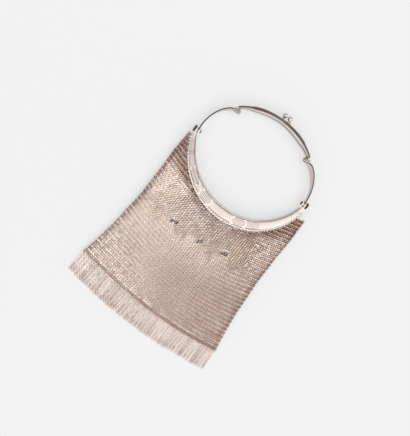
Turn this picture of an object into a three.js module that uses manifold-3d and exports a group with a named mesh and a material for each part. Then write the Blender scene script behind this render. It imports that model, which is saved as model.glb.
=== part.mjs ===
// A metal mesh purse that lies on its back: a ring-shaped frame of two crescents, two arms and two
// clasp arcs, a hollow bag of ring mesh, and a fringe. Millimetres, +Z up, the clasp towards +Y.
// All hinges turn about lines along X. The purse is laid out round the middle of the lower hinge line
// and moved to its own origin, under the middle of its box, at the end.
import * as THREE from 'three';
import { mergeVertices } from 'three/addons/utils/BufferGeometryUtils.js';
import Module from 'manifold-3d';

const wasm = await Module();
wasm.setup();

// Play between pieces
const GAP = 0.3;

// Frame, front to back
const FRAME_DEPTH = 10;
const HORN_DEPTH = 4.4;

// Crescents; the horns' inner edge and the arms' feet both meet the hinge line at the horns' half span
const OPENING_DROP = 44.6;
const HORN_HALF_SPAN = 59.7;
const HORN_WIDTH = 4.3;
const HORN_TIP = 4.2;
const CRESCENT_WIDTH = 11.6;
const PLATE = 1;
const INNER_WALL = 1.2;
const HOLE_DIAMETER = 1.5;
const HOLE_PITCH = 6;
const HOLE_MARGIN = 0.9;

// Lower hinges
const ARM_THICKNESS = 1.2;
const EAR_THICKNESS = 1.1;
const EAR_RADIUS = 2.4;
const EAR_ROOT = 4;
const LOWER_PIN_DIAMETER = 1.8;
const LOWER_HEAD_DIAMETER = 6.2;
const LOWER_HEAD_THICKNESS = 1.8;
const RIVET_DIAMETER = 3.2;
const RIVET_THICKNESS = 0.8;

// Arms
const ARM_FOOT_DEPTH = 5;
const ARM_STRAIGHT = 4.2;
const ARM_BULGE = 13;
const ARM_SHOULDER = 9.5;

// Upper hinges
const UPPER_HINGE_X = 42.1;
const UPPER_HINGE_Y = 35.2;
const KNUCKLE_RADIUS = 2.1;
const KNUCKLE_WIDTH = 1.6;
const UPPER_PIN_DIAMETER = 1.6;
const UPPER_HEAD_DIAMETER = 3.2;
const UPPER_HEAD_THICKNESS = 0.8;

// Clasp arcs
const HANDLE_RISE = 51.5;
const ARC_WIDTH = 4.4;
const ARC_NECK_WIDTH = 2.3;

// Kiss lock
const BALL_DIAMETER = 4.7;
const BALL_SPACE = 0.8;
const BALL_REACH = 5.2;
const CLASP_OFFSET = 3;
const FOOT_LENGTH = 6.4;
const FOOT_RISE = 2.2;
const FOOT_TIP = 1.9;
const FOOT_HEIGHT = 3;
const POST_DIAMETER = 1.5;
const TANG_DIAMETER = 1.2;
const TANG_LENGTH = 1.6;

// Mesh bag, seen from the front
const BAG_DROP = 9.2;
const BAG_SHIFT = 2;
const BAG_LENGTH = 141;
const BAG_TOP_WIDTH = 135.6;
const BAG_BOTTOM_WIDTH = 148.6;
const BAG_MOUTH_TILT = 3.1;
const BAG_SWAY = 5.4;
const BAG_WAIST = 4.4;
const BAG_BELLY = 6.5;
const BAG_WALL = 1.4;
const BAG_MOUTH_DEPTH = 7.8;
const BAG_FOOT_DEPTH = 4.6;
const BAG_RIPPLE = 0.4;
const BAG_SIDE_ROUND = 27;

// Fringe
const FRINGE_LENGTH = 19;
const FRINGE_HEADING = 2.6;
const FRINGE_HEADING_DEPTH = 3;
const FRINGE_THICKNESS = 1.5;
const FRINGE_PITCH = 3.1;
const FRINGE_SLIT = 0.8;

// How finely the round and long pieces are stepped
const ROUND_SIDES = 12;
const BALL_RINGS = 8;
const CRESCENT_STEPS = 34;
const ARC_STEPS = 30;
const ARM_STEPS = 12;
const BAG_COLUMNS = 24;
const BAG_ROWS = 12;

const MIDDLE = FRAME_DEPTH / 2;
const DEGREE = Math.PI / 180;

// The crescent's plate from its inner rim outwards: shares of its width and of the half depth, and
// whether the plate is hollow underneath there.
const PLATE_SECTION = [
  { across: 0, height: 0.8, hollow: false },
  { across: 0.09, height: 0.98, hollow: false },
  { across: 0.18, height: 0.92, hollow: false },
  { across: 0.5, height: 1, hollow: true },
  { across: 0.8, height: 0.92, hollow: true },
  { across: 1, height: 0.78, hollow: true },
];
const RIM_HEIGHT = PLATE_SECTION[0].height;
const WALL_HEIGHT = PLATE_SECTION[2].height;

// A clasp arc from its middle to its end: how far it swells from the neck's width to the full width,
// and its share of the half depth.
const ARC_PROFILE = [
  { at: 0, swell: 0.55, depth: 1 },
  { at: 0.25, swell: 0.8, depth: 1 },
  { at: 0.45, swell: 1, depth: 1 },
  { at: 0.64, swell: 0.9, depth: 1 },
  { at: 0.76, swell: 0.12, depth: 0.96 },
  { at: 0.9, swell: 0, depth: 0.85 },
  { at: 1, swell: 0, depth: 0.6 },
];

// An arm from its foot to its head: share of the way from the foot's depth to the full depth.
const ARM_PROFILE = [
  { at: 0, deepen: 0 },
  { at: 0.3, deepen: 0.3 },
  { at: 0.65, deepen: 0.85 },
  { at: 0.9, deepen: 1 },
  { at: 1, deepen: 0.2 },
];

// The bag from its mouth to its lower edge: share of the mouth's depth over the foot's, and share of
// the waist by which the sides are drawn in.
const BAG_PROFILE = [
  { at: 0, deep: 1, waist: 0 },
  { at: 0.15, deep: 1, waist: 0.12 },
  { at: 0.3, deep: 1, waist: 0.6 },
  { at: 0.5, deep: 0.75, waist: 1 },
  { at: 0.75, deep: 0.3, waist: 0.85 },
  { at: 0.9, deep: 0.1, waist: 0.45 },
  { at: 1, deep: 0, waist: 0 },
];

// How fast the bag's thickness closes at its lower edge.
const EDGE_PROFILE = [
  { at: 0, thick: 1 },
  { at: 0.97, thick: 1 },
  { at: 0.99, thick: 0.8 },
  { at: 1, thick: 0.4 },
];

function readTable(table, key, at) {
  let row = 0;
  while (row < table.length - 2 && at > table[row + 1].at) row += 1;
  const share = (at - table[row].at) / (table[row + 1].at - table[row].at);
  return THREE.MathUtils.lerp(table[row][key], table[row + 1][key], THREE.MathUtils.smoothstep(share, 0, 1));
}

// A circle through two points level with each other, half a span either side of X = 0, and a third on
// X = 0 that lies the given rise above them (below them where it is negative).
function circleThrough(halfSpan, level, rise) {
  const radius = (halfSpan ** 2 + rise ** 2) / (2 * Math.abs(rise));
  return { radius, y: level + rise - Math.sign(rise) * radius };
}

// Where a lower arc of a circle is at an angle from straight down, and the angle of a given height.
function onLowerArc(circle, angle, outwards = 0) {
  const radius = circle.radius + outwards;
  return new THREE.Vector2(radius * Math.sin(angle), circle.y - radius * Math.cos(angle));
}

function lowerAngle(circle, y) {
  return Math.acos((circle.y - y) / circle.radius);
}

const openingCircle = circleThrough(HORN_HALF_SPAN, 0, -OPENING_DROP);
const rimCircle = circleThrough(HORN_HALF_SPAN + HORN_WIDTH, 0, -OPENING_DROP - CRESCENT_WIDTH);

function newellNormal(loop) {
  const normal = new THREE.Vector3();
  loop.forEach((p, k) => {
    const next = loop[(k + 1) % loop.length];
    normal.x += (p.y - next.y) * (p.z + next.z);
    normal.y += (p.z - next.z) * (p.x + next.x);
    normal.z += (p.x - next.x) * (p.y + next.y);
  });
  return normal.normalize();
}

// Closes a loop with triangles, as numbers of its points.
function capOf(loop) {
  const normal = newellNormal(loop);
  const across = loop[1].clone().sub(loop[0]);
  across.addScaledVector(normal, -across.dot(normal)).normalize();
  const up = normal.clone().cross(across);
  const flat = loop.map((p) => new THREE.Vector2(p.dot(across), p.dot(up)));
  return THREE.ShapeUtils.triangulateShape(flat, []);
}

// Loops of as many points each, skinned one after another into a closed body with faced ends.
function loft(loops) {
  const count = loops[0].length;
  const points = loops.flat();
  const triangles = [];
  for (let ring = 0; ring < loops.length - 1; ring += 1) {
    for (let k = 0; k < count; k += 1) {
      const here = ring * count + k;
      const beside = ring * count + ((k + 1) % count);
      triangles.push([here, beside, beside + count], [here, beside + count, here + count]);
    }
  }
  const last = (loops.length - 1) * count;
  for (const [a, b, c] of capOf(loops[0])) triangles.push([a, c, b]);
  for (const [a, b, c] of capOf(loops[loops.length - 1])) triangles.push([last + a, last + b, last + c]);
  const geometry = new THREE.BufferGeometry().setFromPoints(points);
  geometry.setIndex(triangles.flat());
  return facingOut(geometry);
}

// Turns a closed body's faces round where they point inwards.
function facingOut(geometry) {
  const index = geometry.index.array;
  const corner = (k) => new THREE.Vector3().fromBufferAttribute(geometry.attributes.position, index[k]);
  let volume = 0;
  for (let k = 0; k < index.length; k += 3) {
    volume += corner(k).dot(corner(k + 1).cross(corner(k + 2)));
  }
  if (volume < 0) geometry.setIndex(Array.from(index).reverse());
  return geometry;
}

function toSolid(geometry) {
  const bare = geometry.clone();
  bare.deleteAttribute('normal');
  bare.deleteAttribute('uv');
  const merged = mergeVertices(bare, 1e-4);
  return new wasm.Manifold(new wasm.Mesh({
    numProp: 3,
    vertProperties: new Float32Array(merged.attributes.position.array),
    triVerts: new Uint32Array(merged.index.array),
  }));
}

function toGeometry(solid) {
  const mesh = solid.getMesh();
  const geometry = new THREE.BufferGeometry();
  geometry.setAttribute('position', new THREE.BufferAttribute(mesh.vertProperties, 3));
  geometry.setIndex(new THREE.BufferAttribute(mesh.triVerts, 1));
  return geometry;
}

function join(geometries) {
  return toGeometry(geometries.map(toSolid).reduce((whole, solid) => whole.add(solid)));
}

function cut(geometry, cutters) {
  return toGeometry(cutters.map(toSolid).reduce((whole, solid) => whole.subtract(solid), toSolid(geometry)));
}

function rodAlongX(fromX, toX, y, z, diameter) {
  const rod = new THREE.CylinderGeometry(diameter / 2, diameter / 2, Math.abs(toX - fromX), ROUND_SIDES);
  return rod.rotateZ(Math.PI / 2).translate((fromX + toX) / 2, y, z);
}

function rodBetween(from, to, diameter) {
  const rod = new THREE.CylinderGeometry(diameter / 2, diameter / 2, from.distanceTo(to), ROUND_SIDES);
  const direction = to.clone().sub(from).normalize();
  rod.applyQuaternion(new THREE.Quaternion().setFromUnitVectors(new THREE.Vector3(0, 1, 0), direction));
  const middle = from.clone().add(to).multiplyScalar(0.5);
  return rod.translate(middle.x, middle.y, middle.z);
}

// A plate drawn in Y and Z, as thick as its reach along X.
function plateAlongX(outline, fromX, toX) {
  const shape = new THREE.Shape(outline.map(([y, z]) => new THREE.Vector2(y, z)));
  const plate = new THREE.ExtrudeGeometry(shape, { depth: Math.abs(toX - fromX), bevelEnabled: false });
  const alongY = new THREE.Vector3(0, 1, 0);
  const alongZ = new THREE.Vector3(0, 0, 1);
  const alongX = new THREE.Vector3(1, 0, 0);
  plate.applyMatrix4(new THREE.Matrix4().makeBasis(alongY, alongZ, alongX));
  return plate.translate(Math.min(fromX, toX), 0, 0);
}

// A pin along X from a list of steps, each with its reach and diameter.
function steppedPin(steps, y, z, side) {
  const profile = [new THREE.Vector2(0, steps[0].from)];
  for (const { from, to, diameter } of steps) {
    profile.push(new THREE.Vector2(diameter / 2, from), new THREE.Vector2(diameter / 2, to));
  }
  profile.push(new THREE.Vector2(0, steps[steps.length - 1].to));
  const pin = new THREE.LatheGeometry(profile, ROUND_SIDES);
  pin.rotateZ(-Math.PI / 2);
  if (side < 0) pin.rotateZ(Math.PI);
  return pin.translate(0, y, z);
}

// The stack of pieces on a lower hinge, from the purse's middle outwards.
const backEar = { from: HORN_HALF_SPAN - ARM_THICKNESS / 2 - GAP - EAR_THICKNESS };
backEar.to = backEar.from + EAR_THICKNESS;
const frontEar = { from: HORN_HALF_SPAN + ARM_THICKNESS / 2 + GAP };
frontEar.to = frontEar.from + EAR_THICKNESS;

// Half the frame's depth at a place on a crescent, from -1 at the left horn to 1 at the right one.
function crescentHalfDepth(place) {
  const full = Math.max(0, Math.cos(place * Math.PI / 2)) ** 0.6;
  return THREE.MathUtils.lerp(HORN_DEPTH / 2, MIDDLE, full);
}

function crescentLoop(place, half) {
  const inner = onLowerArc(openingCircle, place * lowerAngle(openingCircle, -HORN_TIP));
  const outer = onLowerArc(rimCircle, place * lowerAngle(rimCircle, -HORN_TIP));
  const width = inner.distanceTo(outer);
  const depth = crescentHalfDepth(place);
  const outline = [[0, GAP / 2]];
  for (const row of PLATE_SECTION) outline.push([row.across, row.height * depth]);
  for (const row of PLATE_SECTION.filter(({ hollow }) => hollow).reverse()) {
    outline.push([row.across, row.height * depth - PLATE]);
  }
  outline.push([INNER_WALL / width, WALL_HEIGHT * depth - PLATE]);
  outline.push([INNER_WALL / width, GAP / 2]);
  return outline.map(([across, height]) => {
    const spot = inner.clone().lerp(outer, across);
    return new THREE.Vector3(spot.x, spot.y, MIDDLE + half * height);
  });
}

// An ear of a crescent round the lower hinge pin: a disc with a root in its own half of the depth.
function ear(half, side) {
  const { from, to } = half > 0 ? frontEar : backEar;
  const rootTop = MIDDLE + half * RIM_HEIGHT * HORN_DEPTH / 2;
  const root = [[0, MIDDLE + half * GAP / 2], [-HORN_TIP - EAR_ROOT, MIDDLE + half * GAP / 2],
    [-HORN_TIP - EAR_ROOT, rootTop], [0, rootTop]];
  const disc = rodAlongX(side * from, side * to, 0, MIDDLE, EAR_RADIUS * 2);
  return [disc, plateAlongX(half > 0 ? root : root.reverse(), side * from, side * to)];
}

function crescent(half) {
  const steps = Math.round(CRESCENT_STEPS / 2) * 2;
  const loops = [];
  for (let k = 0; k <= steps; k += 1) loops.push(crescentLoop(2 * k / steps - 1, half));
  const body = join([loft(loops), ...ear(half, 1), ...ear(half, -1)]);
  const bores = [1, -1].map((side) => rodAlongX(side * (backEar.from - GAP), side * (frontEar.to + GAP), 0,
    MIDDLE, LOWER_PIN_DIAMETER + 2 * GAP));
  return cut(body, [...bores, ...piercing(half)]);
}

// The row of holes along the rim that the mesh hangs from.
function piercing(half) {
  const inwards = -HOLE_MARGIN - HOLE_DIAMETER / 2;
  const reach = lowerAngle(rimCircle, -BAG_DROP) - HOLE_PITCH / rimCircle.radius;
  const count = Math.floor(2 * reach * rimCircle.radius / HOLE_PITCH);
  const holes = [];
  for (let k = 0; k <= count; k += 1) {
    const spot = onLowerArc(rimCircle, reach * (2 * k / count - 1), inwards);
    const hole = new THREE.CylinderGeometry(HOLE_DIAMETER / 2, HOLE_DIAMETER / 2, MIDDLE, 6);
    hole.rotateX(Math.PI / 2).translate(spot.x, spot.y, MIDDLE + half * (MIDDLE / 2 + INNER_WALL));
    holes.push(hole);
  }
  return holes;
}

function lowerPin(side) {
  const shaftFrom = backEar.from - GAP;
  const shaftTo = frontEar.to + GAP;
  return steppedPin([
    { from: shaftFrom - RIVET_THICKNESS, to: shaftFrom, diameter: RIVET_DIAMETER },
    { from: shaftFrom, to: shaftTo, diameter: LOWER_PIN_DIAMETER },
    { from: shaftTo, to: shaftTo + LOWER_HEAD_THICKNESS, diameter: LOWER_HEAD_DIAMETER },
  ], 0, MIDDLE, side);
}

// The stack of pieces on an upper hinge, from the arm's head towards the purse's middle.
const armHead = { from: UPPER_HINGE_X - KNUCKLE_WIDTH / 2, to: UPPER_HINGE_X + KNUCKLE_WIDTH / 2 };
const frontKnuckle = { from: armHead.from - GAP - KNUCKLE_WIDTH, to: armHead.from - GAP };
const backKnuckle = { from: frontKnuckle.from - GAP - KNUCKLE_WIDTH, to: frontKnuckle.from - GAP };

function arm(side) {
  const foot = new THREE.LineCurve3(
    new THREE.Vector3(HORN_HALF_SPAN, 0, 0),
    new THREE.Vector3(HORN_HALF_SPAN, ARM_STRAIGHT, 0),
  );
  const head = new THREE.Vector3(armHead.to, UPPER_HINGE_Y - KNUCKLE_RADIUS / 2, 0);
  const bow = new THREE.CubicBezierCurve3(
    foot.v2,
    new THREE.Vector3(HORN_HALF_SPAN, ARM_STRAIGHT + ARM_BULGE, 0),
    new THREE.Vector3(head.x + ARM_SHOULDER, head.y - ARM_SHOULDER / 3, 0),
    head,
  );
  const places = [];
  for (let k = 0; k <= ARM_STEPS; k += 1) {
    const spot = bow.getPoint(k / ARM_STEPS);
    places.push({ at: k / ARM_STEPS, spot, along: bow.getTangent(k / ARM_STEPS) });
  }
  places.unshift({ at: 0, spot: foot.v1, along: foot.getTangent(0) });
  const loops = places.map(({ at, spot, along }) => {
    const depth = THREE.MathUtils.lerp(ARM_FOOT_DEPTH, FRAME_DEPTH, readTable(ARM_PROFILE, 'deepen', at)) / 2;
    const out = new THREE.Vector3(along.y, -along.x, 0).multiplyScalar(ARM_THICKNESS / 2);
    return [[1, 0.85], [0.4, 1], [-0.4, 1], [-1, 0.85], [-1, -0.85], [-0.4, -1], [0.4, -1], [1, -0.85]]
      .map(([across, up]) => {
        const point = spot.clone().addScaledVector(out, across);
        return new THREE.Vector3(side * point.x, point.y, MIDDLE + up * depth);
      });
  });
  const footX = [side * (HORN_HALF_SPAN - ARM_THICKNESS / 2), side * (HORN_HALF_SPAN + ARM_THICKNESS / 2)];
  const eye = rodAlongX(footX[0], footX[1], 0, MIDDLE, ARM_FOOT_DEPTH);
  const disc = rodAlongX(side * armHead.from, side * armHead.to, UPPER_HINGE_Y, MIDDLE, KNUCKLE_RADIUS * 2);
  const pinFrom = backKnuckle.from - GAP;
  const pin = steppedPin([
    { from: pinFrom - UPPER_HEAD_THICKNESS, to: pinFrom, diameter: UPPER_HEAD_DIAMETER },
    { from: pinFrom, to: armHead.to - GAP, diameter: UPPER_PIN_DIAMETER },
  ], UPPER_HINGE_Y, MIDDLE, side);
  const bore = rodAlongX(footX[0] - side * GAP, footX[1] + side * GAP, 0, MIDDLE,
    LOWER_PIN_DIAMETER + 2 * GAP);
  return cut(join([loft(loops), eye, disc, pin]), [bore]);
}

// The middle line of the clasp arcs, which ends above the knuckles.
const arcEnd = {
  x: (frontKnuckle.from + frontKnuckle.to) / 2,
  y: UPPER_HINGE_Y + KNUCKLE_RADIUS + ARC_NECK_WIDTH / 2 + GAP,
};
const arcCircle = circleThrough(arcEnd.x, arcEnd.y, HANDLE_RISE - arcEnd.y);
const arcReach = Math.asin(arcEnd.x / arcCircle.radius);

function arcWidth(angle) {
  const swell = readTable(ARC_PROFILE, 'swell', Math.abs(angle) / arcReach);
  return THREE.MathUtils.lerp(ARC_NECK_WIDTH, ARC_WIDTH, swell);
}

function onArc(angle, outwards) {
  const radius = arcCircle.radius + outwards;
  return new THREE.Vector2(radius * Math.sin(angle), arcCircle.y + radius * Math.cos(angle));
}

function claspArc(half) {
  const loops = [];
  for (let k = 0; k <= ARC_STEPS; k += 1) {
    const angle = arcReach * (2 * k / ARC_STEPS - 1);
    const width = arcWidth(angle);
    const depth = MIDDLE * readTable(ARC_PROFILE, 'depth', Math.abs(angle) / arcReach);
    const section = [[-0.5, GAP / 2], [-0.5, 0.62 * depth], [-0.3, 0.92 * depth], [0, depth],
      [0.3, 0.92 * depth], [0.5, 0.62 * depth], [0.5, GAP / 2]];
    loops.push(section.map(([across, height]) => {
      const spot = onArc(angle, across * width);
      return new THREE.Vector3(spot.x, spot.y, MIDDLE + half * height);
    }));
  }
  const { from, to } = half > 0 ? frontKnuckle : backKnuckle;
  const webEnd = arcEnd.y + ARC_NECK_WIDTH / 4;
  const webFoot = MIDDLE + half * GAP / 2;
  const webTop = MIDDLE + half * KNUCKLE_RADIUS;
  const web = [[UPPER_HINGE_Y, webFoot], [webEnd, webFoot], [webEnd, webTop], [UPPER_HINGE_Y, webTop]];
  const pieces = [loft(loops)];
  const bores = [];
  for (const side of [1, -1]) {
    pieces.push(plateAlongX(half > 0 ? web : web.slice().reverse(), side * from, side * to));
    pieces.push(rodAlongX(side * from, side * to, UPPER_HINGE_Y, MIDDLE, KNUCKLE_RADIUS * 2));
    bores.push(rodAlongX(side * (from - GAP), side * (to + GAP), UPPER_HINGE_Y, MIDDLE,
      UPPER_PIN_DIAMETER + 2 * GAP));
  }
  const { seat, inside } = claspPlace(half);
  const tangHole = rodBetween(seat, inside.clone().lerp(seat, -GAP / TANG_LENGTH), TANG_DIAMETER + 2 * GAP);
  return cut(join(pieces), [...bores, tangHole]);
}

// Where a clasp piece sits on its arc: the middle of its seat on the outer wall, and the tang's end.
function claspPlace(half) {
  const x = CLASP_OFFSET + half * (BALL_DIAMETER + BALL_SPACE) / 2;
  const angle = Math.asin(x / arcCircle.radius);
  const wall = arcWidth(angle) / 2;
  const height = MIDDLE + half * (FOOT_HEIGHT / 2 + GAP);
  const at = (outwards) => {
    const spot = onArc(angle, wall + outwards);
    return new THREE.Vector3(spot.x, spot.y, height);
  };
  return { angle, wall, height, seat: at(GAP), inside: at(-TANG_LENGTH), tip: at(GAP + FOOT_RISE), x };
}

// A foot on the arc, a post that leans to the middle of the depth, and the ball.
function claspPiece(half) {
  const { angle, wall, height, seat, inside, tip, x } = claspPlace(half);
  const outline = [];
  const spread = FOOT_LENGTH / 2 / arcCircle.radius;
  for (const share of [-1, -0.5, 0, 0.5, 1]) outline.push(onArc(angle + share * spread, wall + GAP));
  const tipSpread = FOOT_TIP / 2 / arcCircle.radius;
  for (const share of [1, -1]) outline.push(onArc(angle + share * tipSpread, wall + GAP + FOOT_RISE));
  const foot = new THREE.ExtrudeGeometry(new THREE.Shape(outline.reverse()), {
    depth: FOOT_HEIGHT, bevelEnabled: false,
  });
  foot.translate(0, 0, height - FOOT_HEIGHT / 2);
  const centre = new THREE.Vector3(x, onArc(angle, wall).y + BALL_REACH, MIDDLE);
  const ball = new THREE.SphereGeometry(BALL_DIAMETER / 2, ROUND_SIDES, BALL_RINGS);
  ball.translate(centre.x, centre.y, centre.z);
  const root = seat.clone().lerp(tip, 0.5);
  const tang = rodBetween(root, inside, TANG_DIAMETER);
  return join([foot, rodBetween(root, centre, POST_DIAMETER), ball, tang]);
}

// The bag's plan, seen from the front: a mouth that follows the crescents' rims out to two corners,
// and a bellied lower edge, hung aside by the bag's sway.
const mouthMiddle = new THREE.Vector2(BAG_SHIFT, -BAG_DROP);
const origin = new THREE.Vector2();
const turned = (x, y, degrees) => new THREE.Vector2(x, y).rotateAround(origin, -degrees * DEGREE);
const bagDown = turned(0, -1, BAG_SWAY);
const bagAcross = turned(1, 0, BAG_SWAY);
const footMiddle = mouthMiddle.clone().addScaledVector(bagDown, BAG_LENGTH);
const CORNER_SHARE = 0.93;

// A place across the bag runs from -1 at its left side to 1 at its right side.
function mouthPoint(across) {
  const reach = lowerAngle(rimCircle, -BAG_DROP);
  const clear = (rimCircle.radius + 2 * GAP) / Math.cos(reach / BAG_COLUMNS) - rimCircle.radius;
  const held = onLowerArc(rimCircle, reach * Math.max(-1, Math.min(1, across / CORNER_SHARE)), clear);
  const past = Math.max(0, (Math.abs(across) - CORNER_SHARE) / (1 - CORNER_SHARE));
  const corner = turned(Math.sign(across) * BAG_TOP_WIDTH / 2, 0, BAG_MOUTH_TILT).add(mouthMiddle);
  return held.lerp(corner, past);
}

function lowerEdgePoint(across) {
  return footMiddle.clone()
    .addScaledVector(bagAcross, across * BAG_BOTTOM_WIDTH / 2)
    .addScaledVector(bagDown, BAG_BELLY * (1 - across * across));
}

function bagPlan(across, down) {
  const waist = across * BAG_WAIST * readTable(BAG_PROFILE, 'waist', down);
  return mouthPoint(across).lerp(lowerEdgePoint(across), down).addScaledVector(bagAcross, -waist);
}

// One loop round the bag at a share of its length, drawn in by a wall for its inner face.
function bagLoop(down, inset) {
  const deep = THREE.MathUtils.lerp(BAG_FOOT_DEPTH, BAG_MOUTH_DEPTH, readTable(BAG_PROFILE, 'deep', down));
  const edge = readTable(EDGE_PROFILE, 'thick', down);
  const lift = THREE.MathUtils.lerp(MIDDLE, deep / 2, THREE.MathUtils.smoothstep(down, 0, 0.12));
  const narrow = 1 - 2 * inset / BAG_TOP_WIDTH;
  const columns = [];
  for (let k = 0; k <= BAG_COLUMNS; k += 1) {
    const even = 2 * k / BAG_COLUMNS - 1;
    columns.push(even * (1.3 - 0.3 * even * even));
  }
  const flat = 1 - 2 * BAG_SIDE_ROUND / BAG_TOP_WIDTH;
  const row = (face, across) => {
    const past = Math.max(0, (Math.abs(across) - flat) / (1 - flat));
    const plump = Math.sqrt(1 - past ** 6) * edge;
    const ripple = face * Math.cos(9 * Math.PI * across) * BAG_RIPPLE * (1 - down) * Math.abs(across) ** 3;
    const half = Math.max(inset > 0 ? GAP : 0, (deep / 2 - inset) * plump);
    const spot = bagPlan(across * narrow, down);
    return new THREE.Vector3(spot.x, spot.y, lift + face * half + (face > 0 ? ripple : 0) * plump);
  };
  const front = columns.map((across) => row(1, across));
  const back = columns.slice(1, -1).reverse().map((across) => row(-1, across));
  return [...front, ...back];
}

function meshBag() {
  const downs = [];
  for (let k = 0; k < BAG_ROWS; k += 1) downs.push(0.97 * (k / (BAG_ROWS - 1)));
  const outer = [...downs, 0.99, 1].map((down) => bagLoop(down, 0));
  const inner = downs.map((down) => bagLoop(down, BAG_WALL));
  return loft([...outer.reverse(), ...inner]);
}

// The heading under the bag's lower edge, and the strands that hang from it.
function fringe() {
  const loops = [];
  for (let k = 0; k <= BAG_COLUMNS; k += 1) {
    const spot = lowerEdgePoint(2 * k / BAG_COLUMNS - 1).addScaledVector(bagDown, GAP);
    const low = spot.clone().addScaledVector(bagDown, FRINGE_HEADING);
    const point = (share, height) => {
      const place = spot.clone().lerp(low, share);
      return new THREE.Vector3(place.x, place.y, height * FRINGE_HEADING_DEPTH);
    };
    loops.push([point(0, 0), point(0, 0.7), point(0.3, 1), point(0.7, 1), point(1, 0.7), point(1, 0)]);
  }
  const count = Math.floor(BAG_BOTTOM_WIDTH / FRINGE_PITCH);
  const width = 2 * (1 - FRINGE_SLIT / FRINGE_PITCH) / count;
  const comb = [];
  for (let k = 0; k < count; k += 1) {
    const left = -1 + (2 * k + FRINGE_SLIT / FRINGE_PITCH) / count;
    const right = left + width;
    const reach = FRINGE_LENGTH * (1 + 0.03 * Math.sin(k * 2.4));
    const drop = (across, length) => lowerEdgePoint(across).addScaledVector(bagDown, length);
    comb.push(drop(left, FRINGE_HEADING), drop(left, reach), drop(right, reach), drop(right, FRINGE_HEADING));
  }
  for (let k = BAG_COLUMNS; k >= 0; k -= 1) {
    comb.push(lowerEdgePoint(2 * k / BAG_COLUMNS - 1).addScaledVector(bagDown, FRINGE_HEADING / 2 + GAP));
  }
  const strands = new THREE.ExtrudeGeometry(new THREE.Shape(comb), {
    depth: FRINGE_THICKNESS, bevelEnabled: false,
  });
  return join([loft(loops), strands]);
}

const rosySilver = { color: 0xa3897b, roughness: 0.36, metalness: 1 };
const paleSilver = { color: 0xb9a9a0, roughness: 0.3, metalness: 1 };
const darkSilver = { color: 0x7a675c, roughness: 0.4, metalness: 1 };
const meshSilver = { color: 0x9c7d6b, roughness: 0.45, metalness: 0.9 };
const fringeSilver = { color: 0xb39f92, roughness: 0.42, metalness: 0.9 };

const pieces = {
  crescent_front: [crescent(1), rosySilver],
  crescent_back: [crescent(-1), rosySilver],
  lower_pin_left: [lowerPin(-1), darkSilver],
  lower_pin_right: [lowerPin(1), darkSilver],
  arm_left: [arm(-1), rosySilver],
  arm_right: [arm(1), rosySilver],
  arc_front: [claspArc(1), rosySilver],
  arc_back: [claspArc(-1), rosySilver],
  clasp_front: [claspPiece(1), paleSilver],
  clasp_back: [claspPiece(-1), paleSilver],
  mesh_bag: [meshBag(), meshSilver],
  fringe: [fringe(), fringeSilver],
};

const purse = new THREE.Group();
for (const [name, [geometry, finish]] of Object.entries(pieces)) {
  const mesh = new THREE.Mesh(geometry, new THREE.MeshStandardMaterial(finish));
  mesh.name = name;
  purse.add(mesh);
}

// The purse's own origin is on the surface it lies on, under the middle of its box.
const box = new THREE.Box3().setFromObject(purse);
const middle = box.getCenter(new THREE.Vector3());
purse.position.set(-middle.x, -middle.y, -box.min.z);

export default purse;
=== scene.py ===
# %% [markdown]
# # A metal mesh purse
# The purse lies on its back on a pale table. A ring-shaped frame of engraved crescents, arms and two
# clasp arcs holds a bag of fine linked rings, and a fringe of little chains hangs from the bag.
# The sizes come from the construction model, so this script only dresses it. Every cell makes one
# piece or one finish, and says first what it is on the real purse and how it could be made.

# %% Load the construction model
import math
import bmesh
import bpy
import numpy as np
from mathutils import Matrix, Vector


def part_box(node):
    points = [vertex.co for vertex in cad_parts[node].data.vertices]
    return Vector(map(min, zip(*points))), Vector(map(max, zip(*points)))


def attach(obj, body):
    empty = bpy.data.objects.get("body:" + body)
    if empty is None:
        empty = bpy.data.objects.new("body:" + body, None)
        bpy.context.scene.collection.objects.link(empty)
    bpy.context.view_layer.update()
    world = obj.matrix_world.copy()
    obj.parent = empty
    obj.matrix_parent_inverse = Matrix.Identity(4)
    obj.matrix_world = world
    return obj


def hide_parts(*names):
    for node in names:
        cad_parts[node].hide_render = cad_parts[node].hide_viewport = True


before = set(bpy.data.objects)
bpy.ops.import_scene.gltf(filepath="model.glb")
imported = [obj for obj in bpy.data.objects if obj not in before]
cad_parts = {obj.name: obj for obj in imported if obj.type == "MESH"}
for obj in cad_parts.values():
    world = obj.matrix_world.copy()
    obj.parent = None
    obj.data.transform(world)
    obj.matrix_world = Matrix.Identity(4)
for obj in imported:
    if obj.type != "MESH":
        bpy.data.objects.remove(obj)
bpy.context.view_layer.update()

# %% [markdown]
# ## Where the pieces are drawn
# A purse maker works outwards from the hinge line between the two horns of the frame. All pieces are
# drawn in millimetres round the middle of that line, and one matrix carries them into the frame.
# The line's place is read from the two hinge pins, so the looks follow the construction.

# %% The hinge line as the drawing's origin
MM = 0.001
pins = [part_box("lower_pin_left"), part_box("lower_pin_right")]
hinge_low = Vector(map(min, pins[0][0], pins[1][0]))
hinge_high = Vector(map(max, pins[0][1], pins[1][1]))
HINGE = Vector(((hinge_low.x + hinge_high.x) / 2, (hinge_low.y + hinge_high.y) / 2, 0))
TO_FRAME = Matrix.Translation(HINGE) @ Matrix.Scale(MM, 4)
MIDDLE = (hinge_low.z + hinge_high.z) / 2 / MM
print("hinge line at", [round(v / MM, 2) for v in HINGE], "and", round(MIDDLE, 2), "mm up")

# %% [markdown]
# ## Helpers for making a piece
# Most parts of the frame are skins over a few cross sections, or small turned pins. A loop of
# vertices is extruded from section to section, which keeps the faces in even strips that take a
# highlight well. Small things that repeat hundreds of times are drawn once and copied as arrays.

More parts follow.
